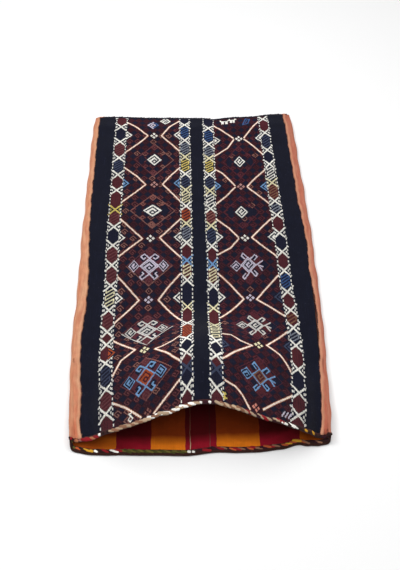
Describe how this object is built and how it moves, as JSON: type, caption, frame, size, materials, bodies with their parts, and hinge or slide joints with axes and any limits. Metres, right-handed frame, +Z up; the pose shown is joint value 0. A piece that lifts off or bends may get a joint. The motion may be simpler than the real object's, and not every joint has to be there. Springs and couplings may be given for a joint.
{
  "type": "kilim sack",
  "caption": "Flat-woven wool storage sack lying on its back, brocaded front, striped back, side strips and an open overcast mouth whose front lip is lifted in an arch.",
  "frame": {"origin": "on the floor under the middle of the lying sack", "axes": "+Y from the mouth to the bottom seam, +X to the right seen from the mouth, +Z up from the back to the front"},
  "size_m": [0.6792, 1.1662, 0.1466],
  "materials": {
    "brocaded_front": "wool flat weave with raised brocade, matt",
    "striped_back": "striped wool flat weave, matt",
    "orange_strip": "plain wool flat weave, faded, matt",
    "seam_yarn": "sewn wool yarn",
    "lip_yarn": "overcast wool yarn",
    "back_lip_yarn": "overcast wool yarn",
    "bottom_yarn": "overcast wool yarn"
  },
  "bodies": {
    "root": {"front_panel": "brocaded_front", "back_panel": "striped_back", "left_side_strip": "orange_strip", "right_side_strip": "orange_strip", "left_front_seam": "seam_yarn", "right_front_seam": "seam_yarn", "front_lip_binding": "lip_yarn", "back_lip_binding": "back_lip_yarn", "bottom_seam": "bottom_yarn"}
  },
  "joints": []
}
